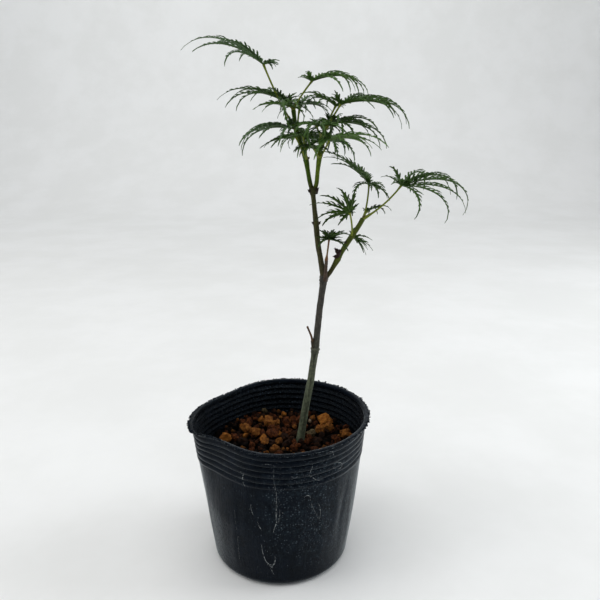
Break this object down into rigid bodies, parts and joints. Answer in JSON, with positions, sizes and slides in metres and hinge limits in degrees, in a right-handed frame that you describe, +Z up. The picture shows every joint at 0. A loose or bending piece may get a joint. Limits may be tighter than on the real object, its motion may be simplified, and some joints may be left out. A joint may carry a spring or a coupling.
{
  "type": "potted japanese maple sapling",
  "caption": "Young cut-leaf maple sapling with a slender forked stem and drooping lacy leaves, rooted in granular mix in a soft round nursery pot.",
  "frame": {"origin": "centre of the pot's flat underside", "axes": "+Z up along the plant, +X to the side of the lower bough, -Y towards the viewer"},
  "size_m": [0.158, 0.1038, 0.2955],
  "materials": {
    "pot": "satin black polyethylene, dusty outside, glossier inside",
    "potting_mix": "rough baked clay granules",
    "bark": "smooth young bark with fine streaks",
    "green_wood": "satin green shoot skin",
    "foliage": "satin leaf"
  },
  "bodies": {
    "root": {"pot": "pot", "potting_mix": "potting_mix", "trunk": "bark", "leader": "bark", "spur": "bark", "left_shoot": "green_wood", "right_shoot": "green_wood", "right_bough": "green_wood", "leaf_top_left": "foliage", "leaf_bough_tip": "foliage", "leaf_upper_right": "foliage", "leaf_top_right": "foliage", "leaf_bough_left": "foliage", "leaf_bough_inner": "foliage", "leaf_upper_left": "foliage", "leaf_middle_left": "foliage", "leaf_low_right": "foliage", "leaf_middle_right": "foliage", "leaf_spur": "foliage", "leaf_back_right": "foliage", "leaf_back_middle": "foliage", "leaf_short_left": "foliage", "leaf_low_left": "foliage", "leaf_front_middle": "foliage", "leaf_front_left": "foliage", "leaf_front_small": "foliage", "leaf_bough_under": "foliage", "leaf_bough_small": "foliage", "leaf_rear_left": "foliage", "leaf_rear_right": "foliage"}
  },
  "joints": []
}
